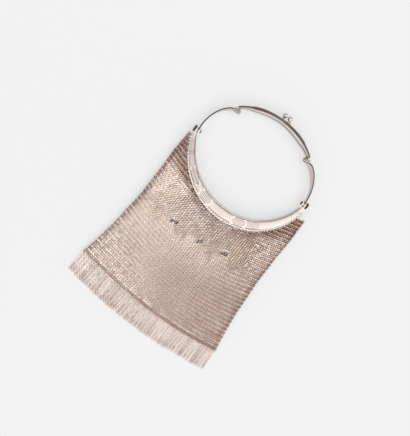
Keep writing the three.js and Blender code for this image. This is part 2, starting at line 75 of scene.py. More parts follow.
# %% Turn a bmesh into a piece
def make_piece(bm, name, body, nodes=(), sharp=40):
    bmesh.ops.recalc_face_normals(bm, faces=bm.faces)
    bmesh.ops.transform(bm, matrix=TO_FRAME, verts=bm.verts)
    mesh = bpy.data.meshes.new(name)
    bm.to_mesh(mesh)
    bm.free()
    return add_object(mesh, name, body, nodes, sharp)


def add_object(mesh, name, body, nodes, sharp):
    mesh.shade_smooth()
    mesh.set_sharp_from_angle(angle=math.radians(sharp))
    piece = bpy.data.objects.new(name, mesh)
    bpy.context.collection.objects.link(piece)
    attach(piece, body)
    if nodes:
        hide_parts(*nodes)
    print(name, "has", sum(len(p.vertices) - 2 for p in mesh.polygons), "triangles")
    return piece


# %% Skin a row of sections
def skin(bm, sections):
    """Extrudes a closed loop from section to section and caps both ends."""
    verts = [bm.verts.new(point) for point in sections[0]]
    edges = [bm.edges.new((verts[k], verts[(k + 1) % len(verts)])) for k in range(len(verts))]
    bmesh.ops.contextual_create(bm, geom=edges)
    for section in sections[1:]:
        made = bmesh.ops.extrude_edge_only(bm, edges=edges)["geom"]
        fresh = [item for item in made if isinstance(item, bmesh.types.BMVert)]
        for vert, point in zip(fresh, section):
            vert.co = point
        edges = [bm.edges.get((fresh[k], fresh[(k + 1) % len(fresh)])) for k in range(len(fresh))]
    bmesh.ops.contextual_create(bm, geom=edges)
    return fresh


# %% Turn a pin, a disc or a ball
TURN_STEPS = 32


def turn(bm, profile, start, axis):
    """Spins a profile of (distance along the axis, radius) round an axis from its start."""
    axis = Vector(axis).normalized()
    side = axis.orthogonal().normalized()
    start = Vector(start)
    verts = [bm.verts.new(start + axis * along + side * radius) for along, radius in profile]
    edges = [bm.edges.new(pair) for pair in zip(verts, verts[1:])]
    spun = bmesh.ops.spin(bm, geom=verts + edges, cent=start, axis=axis, dvec=(0, 0, 0),
                          angle=math.tau, steps=TURN_STEPS, use_merge=True, use_duplicate=False)
    bmesh.ops.remove_doubles(bm, verts=bm.verts, dist=1e-4)
    return spun


def rounded(length, radius, edge):
    """The profile of a disc or rod with rounded edges."""
    turns = [math.pi / 2 * k / 4 for k in range(5)]
    near = [(edge - edge * math.cos(a), radius - edge + edge * math.sin(a)) for a in turns]
    far = [(length - along, across) for along, across in reversed(near)]
    return [(0, 0)] + near + far + [(length, 0)]


# %% [markdown]
# ## The camera
# The photograph looks down on the purse from a little to one side, so that the frame leans away.
# A camera can be aimed by eye, or worked out: here the distance, the lean and the turn of the purse
# were found from the round opening and the corners of the bag, and the axes follow from them.

# %% Set up the camera
PHOTO = (410, 436)
PHOTO_FOCAL = 520
CAMERA_DISTANCE = 468
CAMERA_LEAN = math.radians(12)
PURSE_TURN = math.radians(33.2)
AIM = Vector((-10.7, -61.3, 0))

flat_right = Vector((math.cos(PURSE_TURN), math.sin(PURSE_TURN), 0))
view_right = flat_right * math.cos(CAMERA_LEAN) + Vector((0, 0, math.sin(CAMERA_LEAN)))
view_back = Vector((0, 0, math.cos(CAMERA_LEAN))) - flat_right * math.sin(CAMERA_LEAN)
view_up = view_back.cross(view_right)
camera_data = bpy.data.cameras.new("camera")
camera_data.sensor_width = 36
camera_data.lens = camera_data.sensor_width * PHOTO_FOCAL / max(PHOTO)
camera = bpy.data.objects.new("camera", camera_data)
axes = Matrix((view_right, view_up, view_back)).transposed().to_4x4()
place = TO_FRAME @ (AIM + view_back * CAMERA_DISTANCE)
camera.matrix_world = Matrix.Translation(place) @ axes
bpy.context.collection.objects.link(camera)
bpy.context.scene.camera = camera
print("camera at", [round(v / MM) for v in place], "mm, lens", round(camera_data.lens, 1))

# %% [markdown]
# ## Table and light
# The table is white and so evenly lit that shadows almost vanish, so it glows a little by itself.
# Metal shows what is round it, which makes the light as much a part of the finish as the material is.
# A ring of lamps could do it, but here the room itself fades softly from a dim far side to a bright
# near side, so that rows of rings that lean turn about come out light and dark. One large, weak
# window on the right warms the edges.

# %% Lay the table
TABLE_HALF = 3
TABLE_GREY = 0.25
TABLE_GLOW = 0.5

table_mesh = bmesh.new()
bmesh.ops.create_grid(table_mesh, x_segments=1, y_segments=1, size=TABLE_HALF)
floor_data = bpy.data.meshes.new("table")
table_mesh.to_mesh(floor_data)
table_mesh.free()
table = bpy.data.objects.new("table", floor_data)
bpy.context.collection.objects.link(table)

white = bpy.data.materials.new("table_white")
white.use_nodes = True
white_shader = white.node_tree.nodes["Principled BSDF"]
white_shader.inputs["Base Color"].default_value = (TABLE_GREY, TABLE_GREY, TABLE_GREY, 1)
white_shader.inputs["Roughness"].default_value = 0.9
white_shader.inputs["Emission Color"].default_value = (1, 1, 1, 1)
white_shader.inputs["Emission Strength"].default_value = TABLE_GLOW
floor_data.materials.append(white)
print("table", 2 * TABLE_HALF, "m wide")

# %% Light the room
ROOM_FAR = 0.8
ROOM_NEAR = 2.05
ROOM_ABOVE = 0.95
NEAR_SIDE = (0.5, -0.86, 0)

world = bpy.data.worlds.new("room")
bpy.context.scene.world = world
world.use_nodes = True
nodes, links = world.node_tree.nodes, world.node_tree.links
heading = nodes.new("ShaderNodeTexCoord")


def facing(axis, low, high, dim, bright):
    """The room's brightness from dim to bright as a direction turns from low to high along an axis."""
    dot = nodes.new("ShaderNodeVectorMath")
    dot.operation = "DOT_PRODUCT"
    links.new(heading.outputs["Generated"], dot.inputs[0])
    dot.inputs[1].default_value = axis
    ramp = nodes.new("ShaderNodeMapRange")
    ramp.interpolation_type = "SMOOTHSTEP"
    links.new(dot.outputs["Value"], ramp.inputs["Value"])
    for socket, value in (("From Min", low), ("From Max", high), ("To Min", dim), ("To Max", bright)):
        ramp.inputs[socket].default_value = value
    return ramp.outputs["Result"]


sides = facing(NEAR_SIDE, -0.7, 0.7, ROOM_FAR, ROOM_NEAR)
zenith = facing((0, 0, 1), 0.68, 0.95, 1, ROOM_ABOVE)
strength = nodes.new("ShaderNodeMath")
strength.operation = "MULTIPLY"
links.new(sides, strength.inputs[0])
links.new(zenith, strength.inputs[1])
links.new(strength.outputs[0], nodes["Background"].inputs["Strength"])
nodes["Background"].inputs["Color"].default_value = (1, 1, 1, 1)
print("room from", ROOM_FAR, "on the far side to", ROOM_NEAR, "on the near side")

# %% Hang the window
WINDOW_DISTANCE = 2.5
WINDOW_HEIGHT = math.radians(54)
WINDOW_SIZE = 1.6
WINDOW_POWER = 8
WINDOW_COLOUR = (1, 0.99, 0.97)


def emitter(name, place, target, size, power, colour):
    data = bpy.data.lights.new(name, "AREA")
    data.shape = "RECTANGLE"
    data.size, data.size_y = size
    data.energy = power
    data.color = colour
    lamp = bpy.data.objects.new(name, data)
    lamp.location = place
    lamp.rotation_euler = (Vector(target) - Vector(place)).to_track_quat("-Z", "Y").to_euler()
    bpy.context.collection.objects.link(lamp)
    return lamp


window_way = flat_right * math.cos(WINDOW_HEIGHT) + Vector((0, 0, math.sin(WINDOW_HEIGHT)))
emitter("window", window_way * WINDOW_DISTANCE, (0, 0, 0), (WINDOW_SIZE, WINDOW_SIZE), WINDOW_POWER,
        WINDOW_COLOUR)
bpy.context.scene.view_settings.view_transform = "Standard"
print("window", WINDOW_DISTANCE, "m away")

# %% [markdown]
# ## The shape of the bag
# The bag is a flattened tube of mesh, closed along its lower edge. Its rows of rings sag between the
# two sides like a hammock, and the frame's round rim cuts them off at the top. The surface is worked
# out as a grid of places, half a ring apart each way, from the same sizes as the construction.

# %% The bag's outline
SWAY = math.radians(5.4)
MOUTH_TILT = math.radians(3.1)
MOUTH_MIDDLE = np.array([2.0, -9.2])
BAG_LENGTH = 141.0
TOP_WIDTH = 135.6
BOTTOM_WIDTH = 148.6
WAIST = 4.4
BELLY = 6.5
SAG = 12.0
RIM_CENTRE = np.array([0.0, 8.45])
RIM_RADIUS = 64.55
DOWN = np.array([-math.sin(SWAY), -math.cos(SWAY)])
ACROSS = np.array([math.cos(SWAY), -math.sin(SWAY)])
FOOT_MIDDLE = MOUTH_MIDDLE + DOWN * BAG_LENGTH

WAIST_TABLE = {"at": [0, 0.15, 0.3, 0.5, 0.75, 0.9, 1], "share": [0, 0.12, 0.6, 1, 0.85, 0.45, 0]}
DEEP_TABLE = {"at": [0, 0.3, 0.5, 0.75, 0.9, 1], "share": [1, 1, 0.75, 0.3, 0.1, 0]}
MOUTH_DEPTH = 7.8
FOOT_DEPTH = 4.6


def smooth(value, low, high):
    share = np.clip((value - low) / (high - low), 0, 1)
    return share * share * (3 - 2 * share)


def side_point(side, down):
    corner = MOUTH_MIDDLE + side * TOP_WIDTH / 2 * np.array([math.cos(MOUTH_TILT), -math.sin(MOUTH_TILT)])
    foot = FOOT_MIDDLE + side * BOTTOM_WIDTH / 2 * ACROSS
    waist = WAIST * np.interp(down, WAIST_TABLE["at"], WAIST_TABLE["share"])
    return corner + (foot - corner) * down - side * waist * ACROSS


def plan_point(across, down):
    """A place on the bag seen from the front: across from -1 to 1, down from 0 to 1."""
    left, right_side = side_point(-1, down), side_point(1, down)
    sag = SAG + (BELLY - SAG) * smooth(down, 0.45, 1)
    across = np.asarray(across)[:, None]
    return (left + right_side) / 2 + across * (right_side - left) / 2 + (1 - across**2) * sag * DOWN


print("middle of the bag's lower edge", [round(float(v), 1) for v in plan_point([0], 1)[0]])

# %% The bag's depth
RING_RADIUS = 0.9
RING_WIRE = 0.3
ROW_LEAN = math.radians(38)
LAYER = RING_RADIUS * math.sin(ROW_LEAN) + RING_WIRE
SIDE_ROUND = 27.0
RIM_SHARE = 0.78
RIM_HOLD = 14
HORN_DEPTH = 2.2
HORN_ANGLE = 73.0
LOOP_POINTS = 161
FOOT_PINCH = 0.35


def crescent_half_depth(angle):
    """Half the frame's depth at an angle from straight down, in degrees."""
    place = np.clip(np.abs(angle) / HORN_ANGLE, 0, 1)
    return HORN_DEPTH + (MIDDLE - HORN_DEPTH) * np.cos(place * math.pi / 2) ** 0.6


def rim_distance(plan):
    return np.hypot(*(plan - RIM_CENTRE).T) - RIM_RADIUS


def rim_angle(plan):
    offset = plan - RIM_CENTRE
    return np.degrees(np.arctan2(offset[:, 0], -offset[:, 1]))


def half_loop(down, face):
    """Points along one face of a row, from the left side to the right, 1 the front and -1 the back."""
    across = np.sin(np.linspace(-math.pi / 2, math.pi / 2, LOOP_POINTS))
    inset = 1 - 2 * LAYER / TOP_WIDTH
    plan = plan_point(across * inset, down)
    gap = np.maximum(rim_distance(plan), 0)
    fallen = gap / (gap + (1 - down) * BAG_LENGTH + 1e-6)
    deep = FOOT_DEPTH + (MOUTH_DEPTH - FOOT_DEPTH) * np.interp(fallen, DEEP_TABLE["at"], DEEP_TABLE["share"])
    held = 2 * RIM_SHARE * crescent_half_depth(rim_angle(plan))
    deep = deep + (np.minimum(held, deep) - deep) * (1 - smooth(gap, 0, RIM_HOLD))
    lift = MIDDLE + (deep / 2 - MIDDLE) * smooth(fallen, 0, 0.12)
    flat = 1 - 2 * SIDE_ROUND / TOP_WIDTH
    past = np.clip((np.abs(across) - flat) / (1 - flat), 0, 1)
    plump = np.sqrt(1 - past**6) * (1 - FOOT_PINCH * smooth(down, 0.975, 1))
    height = lift + face * np.maximum(deep / 2 - LAYER, 0.3) * plump
    return np.column_stack([plan, height])


def along(points, count):
    """Evenly spaced points on a line, the first at its start and the last one step before its end."""
    steps = np.linalg.norm(np.diff(points, axis=0), axis=1)
    reach = np.concatenate([[0], np.cumsum(steps)])
    wanted = reach[-1] * np.arange(count) / count
    return np.column_stack([np.interp(wanted, reach, points[:, k]) for k in range(3)])


print("a row of leaning rings is", round(LAYER, 2), "mm deep")

# %% The grid of ring places
COLUMN_PITCH = 2.4
ROW_PITCH = 0.95
COLUMNS = round((TOP_WIDTH + BOTTOM_WIDTH) / 2 / COLUMN_PITCH)
ROWS = round(BAG_LENGTH / ROW_PITCH)

rows = []
for row in range(-1, ROWS + 2):
    down = row / ROWS
    front = half_loop(min(max(down, 0), 1), 1)
    back = half_loop(min(max(down, 0), 1), -1)[::-1]
    loop = np.vstack([along(front, 2 * COLUMNS), along(back, 2 * COLUMNS)])
    loop[:, :2] += (down - min(max(down, 0), 1)) * BAG_LENGTH * DOWN
    rows.append(loop)
grid = np.array(rows)
print("rows", ROWS, "columns on a face", COLUMNS, "grid", grid.shape)

# %% [markdown]
# ## One ring
# A link of mesh is a bent wire with its ends butted together. It could be a torus primitive, but a
# little section spun round keeps control over the number of faces, and there are thousands. The rings
# of the bag have a three-sided section, with a flat that faces out and catches the light.

# %% Draw the ring once
def ring_template(radius, wire, steps, sides):
    """A ring in the XY plane as arrays of points and of faces."""
    bm = bmesh.new()
    made = bmesh.ops.create_circle(bm, segments=sides, radius=wire / 2 / math.cos(math.pi / sides))
    stand = Matrix.Translation((radius, 0, 0)) @ Matrix.Rotation(math.pi / 2, 4, "X")
    stand = stand @ Matrix.Rotation(math.pi / sides if sides % 2 == 0 else 0, 4, "Z")
    bmesh.ops.transform(bm, matrix=stand, verts=made["verts"])
    bmesh.ops.spin(bm, geom=bm.verts[:] + bm.edges[:], cent=(0, 0, 0), axis=(0, 0, 1),
                   dvec=(0, 0, 0), angle=math.tau, steps=steps, use_merge=True)
    bmesh.ops.recalc_face_normals(bm, faces=bm.faces)
    bm.verts.index_update()
    points = np.array([vert.co[:] for vert in bm.verts])
    faces = np.array([[vert.index for vert in face.verts] for face in bm.faces])
    bm.free()
    return points, faces


front_ring = ring_template(RING_RADIUS, RING_WIRE, 8, 3)
back_ring = ring_template(RING_RADIUS, RING_WIRE, 6, 3)
print("heights in the ring's section:", sorted({round(float(z), 3) for z in front_ring[0][:, 2]}),
      "outer flat at", round(float(front_ring[0][:, 2].min()), 3))
print("a front ring has", len(front_ring[1]), "faces and a back ring", len(back_ring[1]))

# %% Lay copies of it as one mesh
def lay_copies(template, places, bases, masks, name, body, nodes=()):
    """Copies of a template, each with its place, its three axes as rows and its mask, as one piece."""
    points, faces = template
    count = len(places)
    laid = np.einsum("vk,nkd->nvd", points, bases) + places[:, None, :]
    laid = laid.reshape(-1, 3) * MM + np.array(HINGE)
    index = (faces[None] + (np.arange(count) * len(points))[:, None, None]).reshape(-1)
    mesh = bpy.data.meshes.new(name)
    mesh.vertices.add(len(laid))
    mesh.vertices.foreach_set("co", laid.reshape(-1))
    mesh.loops.add(len(index))
    mesh.loops.foreach_set("vertex_index", index)
    sides = faces.shape[1]
    mesh.polygons.add(len(index) // sides)
    mesh.polygons.foreach_set("loop_start", np.arange(0, len(index), sides))
    mesh.update(calc_edges=True)
    mesh.validate()
    # The mask holds tarnish and, on the bag's rings, painted shade and light.
    tarnish_and_painted_light = mesh.attributes.new("tarnish_and_painted_light", "FLOAT", "POINT")
    tarnish_and_painted_light.data.foreach_set("value", np.repeat(masks, len(points)).astype(np.float32))
    return add_object(mesh, name, body, nodes, 50)


# %% [markdown]
# ## The ring mesh
# In this weave each ring passes through two rings above it and two below. The rings of a row all
# lean one way and the next row leans the other way, so that side light makes every second row shine.
# Geometry Nodes could place them, but arrays in code also let each ring have its own lean and age.

# %% The directions of the mesh at every place
rng = np.random.default_rng(11)
centre_rows = grid[1:-1]
tangent = np.roll(centre_rows, -1, axis=1) - np.roll(centre_rows, 1, axis=1)
downward = grid[2:] - grid[:-2]
tangent /= np.linalg.norm(tangent, axis=2, keepdims=True)
downward -= tangent * (tangent * downward).sum(axis=2, keepdims=True)
downward /= np.linalg.norm(downward, axis=2, keepdims=True)
outward = np.cross(downward, tangent)

row_number, column_number = np.indices(centre_rows.shape[:2])
used = (row_number + column_number) % 2 == 0
flat_places = centre_rows.reshape(-1, 3)
gap = rim_distance(flat_places[:, :2]).reshape(used.shape)
used &= gap > 1.2 * RING_RADIUS
on_front = column_number < 2 * COLUMNS
print("rings in the bag:", int(used.sum()))

# %% [markdown]
# ## Wear and painted light in the mesh
# Old mesh is uneven: links have torn out and left three slits, the rows are pulled into upright ribs
# below the rim, the gathers by the horns are dark and coppery, and the tarnish is deepest where no
# hand rubs. Each could be painted by hand. Here each is a soft zone, a number from 0 to 1 for every
# ring, so that one lean and one age can be worked out for each. The age also carries painted shade on
# the sunken rows, on every fourth row and inside the slits, and painted light on the slits' upper lips,
# the left part of the bag and the ribs.

# %% Tear the slits, with painted shade inside them and a painted highlight above them
SLITS = [(-33.6, -79.5), (-4.9, -81.9), (20.1, -79.8)]
SLIT_SIZE = (3.8, 1.75)
SLIT_WAY = np.array([0.97, 0.25])
SLIT_ACROSS = np.array([-0.25, 0.97])
shade_behind_slit = np.zeros(used.shape)
slit_lip_highlight = np.zeros(used.shape)
for slit_x, slit_y in SLITS:
    offset = centre_rows[..., :2] - np.array([slit_x, slit_y])
    long_way = offset @ SLIT_WAY
    short_way = offset @ SLIT_ACROSS
    reach = np.hypot(long_way / SLIT_SIZE[0], short_way / SLIT_SIZE[1])
    used &= ~((reach < 1) & on_front)
    # The back rings seen through each slit get painted shade, for the dark inside of the bag.
    shade_behind_slit = np.maximum(shade_behind_slit, np.where(on_front, 0, 1 - smooth(reach, 1.1, 1.8)))
    # The rings just above each slit get a painted highlight.
    lip = np.where(on_front & (short_way > 0), 1 - smooth(reach, 1.5, 1.9), 0)
    slit_lip_highlight = np.maximum(slit_lip_highlight, lip)
print("rings left after the slits:", int(used.sum()))

# %% Mark the edges and the ribs
RIB_ROWS = 5
RIB_SCALLOP = 3.0
RIB_SPACE = 29
RIB_LEFT = (-64, -50)
RIB_RIGHT = (34, 54)
RIB_TOP = (42, 58)
RIB_FOOT = (80, 90)
share = np.abs((column_number % (2 * COLUMNS)) / COLUMNS - 1)
x, y = centre_rows[..., 0], centre_rows[..., 1]
near_rim = np.exp(-np.maximum(gap - 1, 0) / 5)
near_side = smooth(share, 0.9, 1) * (0.4 + 0.6 * ((row_number // 2) % 2))
last_rows = row_number >= ROWS - 1
scallop = RIB_SCALLOP * np.cos((x + 22) * math.tau / RIB_SPACE)
rib_zone = smooth(x, *RIB_LEFT) * (1 - smooth(x, *RIB_RIGHT))
rib_zone *= 1 - smooth(-y, RIB_FOOT[0] + scallop, RIB_FOOT[1] + scallop)
rib_zone *= smooth(-y, *RIB_TOP)
rib_start = rng.uniform(0.05, 0.95, (ROWS + 1, 2 * COLUMNS))[row_number // RIB_ROWS, column_number // 2]
ribbed = smooth(rib_zone - rib_start, -0.3, 0.3)
print("ribbed rings:", int((ribbed * used > 0.5).sum()))

# %% Mark the gathers by the horns
GATHER_REACH = 7
HORN_REACH = 15
RIGHT_GATHER = 0.8
rim_turn = np.degrees(np.arctan2(x - RIM_CENTRE[0], RIM_CENTRE[1] - y))
gather_reach = GATHER_REACH + HORN_REACH * smooth(np.abs(rim_turn), 35, 62)
gathered = smooth(np.abs(rim_turn), 5, 30) * (1 - smooth(gap, 0.4 * gather_reach, gather_reach))
gathered *= np.where(rim_turn < 0, 1, RIGHT_GATHER)
print("gathered rings:", int((gathered * used > 0.5).sum()))

# %% Lean and lift every ring
RIB_LEAN = math.radians(27)
RIB_ROW_LEAN = math.radians(31)
LIFT = 0.28
UNEVEN_LEAN = math.radians(2.5)
UNEVEN_YAW = math.radians(3)
UNEVEN_PLACE = 0.04
up_row = np.where(row_number % 2 == 0, 1, -1)
lean = -(ROW_LEAN + (RIB_ROW_LEAN - ROW_LEAN) * ribbed) * up_row
lean += rng.normal(0, UNEVEN_LEAN, used.shape)
yaw = RIB_LEAN * ribbed * up_row + rng.normal(0, UNEVEN_YAW, used.shape)
down_axis = downward * np.cos(lean)[..., None] + outward * np.sin(lean)[..., None]
facing_out = np.cross(down_axis, tangent)
right_axis = tangent * np.cos(yaw)[..., None] - facing_out * np.sin(yaw)[..., None]
bases = np.stack([right_axis, down_axis, np.cross(right_axis, down_axis)], axis=2)
places = centre_rows + rng.normal(0, UNEVEN_PLACE, centre_rows.shape) + outward * (LIFT * up_row)[..., None]
print("mean lean", round(math.degrees(float(np.abs(lean).mean())), 1), "degrees")

# %% Age every ring, with its painted shade and light
# Painted shade: the sunken rows are much darker, as if the raised rows shaded them.
LOW_ROW_SHADE = 0.82
# Painted shade: every fourth row is darker, more so towards the sides, for the stripes that side light
# makes.
STRIPE_ROW_SHADE = (0.14, 0.24)
GATHER_AGE = (0.6, 0.5)
PATCH_AGE = 0.08
PATCH_MIDDLE = (-8, -118)
PATCH_SIZE = (34, 20)
# Painted highlight on the upper lip of each slit.
LIP_HIGHLIGHT = 0.3
# Painted light: the left part of the bag is made lighter.
LEFT_PAINTED_LIGHT = 0.12
# Painted light: the ribs are made lighter, more so towards the right.
RIB_PAINTED_LIGHT = (0.06, 0.14)
RIM_AGE = 0.3
SIDE_AGE = 0.45
FOOT_AGE = 0.6
low_row = up_row < 0
stripe_shade_row = row_number % 4 == 2
patch_across = (x - PATCH_MIDDLE[0]) / PATCH_SIZE[0]
patch_down = (y - PATCH_MIDDLE[1]) / PATCH_SIZE[1]
dull_patch = np.exp(-patch_across**2 - patch_down**2)
# Painted shade on the sunken rows, and a painted highlight on the slits' upper lips.
wear_and_painted_light = rng.normal(0.02, 0.04, used.shape) + LOW_ROW_SHADE * low_row - LIP_HIGHLIGHT * slit_lip_highlight
# Painted shade on every fourth row, outside the ribs.
wear_and_painted_light += (STRIPE_ROW_SHADE[0] + STRIPE_ROW_SHADE[1] * smooth(share, 0.25, 0.6)) * stripe_shade_row * (1 - ribbed)
wear_and_painted_light += gathered * np.where(low_row, *GATHER_AGE) + PATCH_AGE * dull_patch
# How much painted light the ribs get, more towards the right.
rib_painted_light = RIB_PAINTED_LIGHT[0] + RIB_PAINTED_LIGHT[1] * smooth(x, 0, 30)
# Painted light on the left part of the bag and on the ribs.
wear_and_painted_light -= LEFT_PAINTED_LIGHT * smooth(-x, 15, 50) * (1 - near_side) + ribbed * rib_painted_light
edges = RIM_AGE * near_rim + SIDE_AGE * near_side + FOOT_AGE * last_rows
# The age, the edges' tarnish and the painted shade inside the slits make one mask.
masks = np.clip(wear_and_painted_light + edges + shade_behind_slit, 0, 1)
print("mean age", round(float(masks.mean()), 3))

# %% Lay the rings, each face in bands
MESH_BANDS = (("mesh_front_upper", True, 0, 0.42), ("mesh_front_middle", True, 0.42, 0.72),
              ("mesh_front_lower", True, 0.72, 1.01), ("mesh_back_upper", False, 0, 0.55),
              ("mesh_back_lower", False, 0.55, 1.01))
mesh_pieces = {}
for name, face, low, high in MESH_BANDS:
    chosen = used & (on_front == face) & (row_number >= low * ROWS) & (row_number < high * ROWS)
    ring = front_ring if face else back_ring
    mesh_pieces[name] = lay_copies(ring, places[chosen], bases[chosen], masks[chosen], name, "purse",
                                   ["mesh_bag"])

# %% [markdown]
# ## The crescents
# Each horned plate is pressed from sheet, turned in round the hand hole and engraved. A plain sweep
# cannot do it, because the two rims are arcs of different circles, so sections are skinned from horn
# to horn. The engraving could be a bump in the finish, but here it is cut into the skin itself: a
# function of the place along and across the plate says how deep each point lies. The cuts, the
# inner bead and the groove beside it are also kept as a mask, which darkens them.

# %% The crescent's two rims
OPENING_DROP = 44.6
HORN_HALF_SPAN = 59.7
HORN_WIDTH = 4.3
HORN_TIP = 4.2
CRESCENT_WIDTH = 11.6
PLATE = 1.0
INNER_WALL = 1.2
HALF_GAP = 0.15


def circle_through(half_span, rise):
    """The radius and the centre's height of an arc through two level points and one between them."""
    radius = (half_span**2 + rise**2) / (2 * abs(rise))
    return radius, rise - math.copysign(radius, rise)


def on_lower_arc(circle, angle, outwards=0.0):
    radius, centre = circle
    return Vector(((radius + outwards) * math.sin(angle), centre - (radius + outwards) * math.cos(angle)))


def lower_angle(circle, y):
    radius, centre = circle
    return math.acos((centre - y) / radius)


opening = circle_through(HORN_HALF_SPAN, -OPENING_DROP)
rim = circle_through(HORN_HALF_SPAN + HORN_WIDTH, -OPENING_DROP - CRESCENT_WIDTH)
print("opening radius", round(opening[0], 2), "rim radius", round(rim[0], 2))

# %% The engraver's motifs
FLAT_FROM, FLAT_TO = 0.2, 0.84
FLAT_RADIUS = 62
FLAT_WIDTH = 8.0
LINED_BLOCKS = ((-29, -15), (8, 22))
LATTICE_FIELD = (-15, 8)
CHEVRON_FIELD = (22, 34)
NARROW_FIELD = (-34, -29)
LEAF_FIELD = (-50, -34)
WAVY_FIELD = (-64, -50)


def wave(length, pitch):
    return 0.5 + 0.5 * math.cos(math.tau * length / pitch)


def bracket(angle, across, low, high, slant=3.0):
    """1 inside a block whose ends are mitred towards its middle line, in degrees along the plate."""
    mitre = slant * abs(2 * across - 1)
    return low + mitre < angle < high - mitre


def engraved(angle, across):
    """How deeply the plate is cut, 0 to 1, at an angle from straight down and a share of its width."""
    if not FLAT_FROM < across < FLAT_TO:
        return 0.0
    share = (across - FLAT_FROM) / (FLAT_TO - FLAT_FROM)
    length = math.radians(angle) * FLAT_RADIUS
    width = FLAT_WIDTH * share
    border = 1.0 if min(share, 1 - share) < 0.05 else 0.0
    for low, high in LINED_BLOCKS:
        if bracket(angle, share, low, high):
            return max(border, wave(share, 1 / 5) ** 1.5)
        if bracket(angle, share, low - 1.2, high + 1.2):
            return 0.0
    if LATTICE_FIELD[0] < angle < LATTICE_FIELD[1]:
        lattice = wave(length + width, 2.4) * wave(length - width, 2.4)
        dots = wave(length, 1.2) * wave(width, 1.3)
        return max(border, lattice, 0.6 * dots)
    if CHEVRON_FIELD[0] <= angle < CHEVRON_FIELD[1]:
        return max(border, wave(length + 0.8 * abs(width - FLAT_WIDTH / 2), 1.35) ** 1.5)
    if NARROW_FIELD[0] < angle <= NARROW_FIELD[1]:
        return max(border, 0.7 * wave(length, 1.6))
    if LEAF_FIELD[0] < angle <= LEAF_FIELD[1]:
        along_leaf = (angle - LEAF_FIELD[0]) / (LEAF_FIELD[1] - LEAF_FIELD[0])
        edge = 0.46 * math.sin(math.pi * along_leaf) ** 0.7
        off = abs(share - 0.5)
        if off < edge:
            vein = wave(length - 1.5 * off * FLAT_WIDTH, 1.7) ** 2
            rib = 1.0 if off < 0.05 else 0.0
            return max(vein, rib, 1.0 if edge - off < 0.07 else 0.0)
        return max(border, 0.5 * wave(length, 0.9) * wave(width, 0.9))
    if WAVY_FIELD[0] < angle <= WAVY_FIELD[1]:
        return max(border, wave(length + 0.7 * math.sin(math.tau * share * 1.5), 1.9) ** 1.5)
    return 0.45 * wave(length, 1.0) * wave(width, 1.0)


print("fields of engraving:", len(LINED_BLOCKS) + 5, "and the stippled horns")

# %% The plate's crown
CRESCENT_STEPS = 520
FLAT_POINTS = 26
CUT_DEPTH = 0.16
BEAD_TO = 0.16
LOW_CREST = 0.8


def crest(share):
    """The plate's height as a share of the half depth: a round inner bead, a groove, a crowned flat."""
    if share < BEAD_TO:
        return LOW_CREST + 0.2 * math.sin(math.pi * share / BEAD_TO) ** 0.8
    if share < FLAT_FROM:
        return LOW_CREST + 0.09 * (share - BEAD_TO) / (FLAT_FROM - BEAD_TO)
    if share < FLAT_TO:
        middle = (share - FLAT_FROM) / (FLAT_TO - FLAT_FROM)
        return 0.89 + 0.1 * math.sin(math.pi * (0.15 + 0.75 * middle)) ** 0.8
    return LOW_CREST + 0.1 * math.sin(math.pi * (share - FLAT_TO) / (1 - FLAT_TO)) ** 0.7


bead_shares = [BEAD_TO * k / 9 for k in range(10)]
flat_shares = [FLAT_FROM + (FLAT_TO - FLAT_FROM) * k / (FLAT_POINTS - 1) for k in range(FLAT_POINTS)]
rim_shares = [FLAT_TO + (1 - FLAT_TO) * k / 8 for k in range(1, 9)]
top_shares = bead_shares + [(BEAD_TO + FLAT_FROM) / 2] + flat_shares + rim_shares
print("points across the plate:", len(top_shares))

# %% The crescent's sections
BEAD_STAIN = 0.45
GROOVE_STAIN = 0.55
PLATE_STAIN = 0.2
WALL_STAIN = 0.3
HORN_STAIN = 0.25
RIGHT_STAIN = 0.14


def crescent_section(place, half):
    """The section at a place from -1 to 1 along the crescent, as points with their tarnish."""
    inner = on_lower_arc(opening, place * lower_angle(opening, -HORN_TIP))
    outer = on_lower_arc(rim, place * lower_angle(rim, -HORN_TIP))
    width = (outer - inner).length
    middle = (inner + outer) / 2
    angle = math.degrees(math.atan2(middle.x, rim[1] - middle.y))
    depth = float(crescent_half_depth(angle))
    outline = [(0.0, HALF_GAP, WALL_STAIN)]
    dullness = HORN_STAIN * float(smooth(-angle * half, 58, 66))
    dullness += RIGHT_STAIN * float(smooth(angle * half, 33, 35))
    for share in top_shares:
        cut = engraved(angle * (1 if half > 0 else -1), share)
        fade = min(1.0, (1 - abs(place)) * 12)
        grime = BEAD_STAIN if share < 0.15 else GROOVE_STAIN if share < FLAT_FROM else PLATE_STAIN
        height = crest(share) * depth - CUT_DEPTH * cut * fade
        outline.append((share, height, max(grime, cut * fade) + dullness))
    for share in (1.0, 0.8, 0.5, INNER_WALL / width):
        outline.append((share, crest(share) * depth - PLATE, WALL_STAIN))
    outline.append((INNER_WALL / width, HALF_GAP, 0.0))
    points = []
    for share, height, dark in outline:
        spot = inner.lerp(outer, share)
        points.append((Vector((spot.x, spot.y, MIDDLE + half * height)), dark))
    return points


print("the middle section has", len(crescent_section(0, 1)), "points")

# %% Round a disc and a block
def disc(bm, x_from, x_to, y, z, radius, edge=0.2):
    """A disc or rod along X with rounded edges."""
    start, axis = Vector((min(x_from, x_to), y, z)), (1, 0, 0)
    turn(bm, rounded(abs(x_to - x_from), radius, edge), start, axis)


def block(bm, low, high, edge=0.25):
    """A box between two corners with rounded edges."""
    low, high = Vector(map(min, low, high)), Vector(map(max, low, high))
    made = bmesh.ops.create_cube(bm, size=1)
    bmesh.ops.scale(bm, vec=high - low, verts=made["verts"])
    bmesh.ops.translate(bm, vec=(low + high) / 2, verts=made["verts"])
    edges = {line for vert in made["verts"] for line in vert.link_edges}
    bmesh.ops.bevel(bm, geom=list(edges), offset=edge, offset_type="OFFSET", segments=3, profile=0.5,
                    affect="EDGES", material=-1)


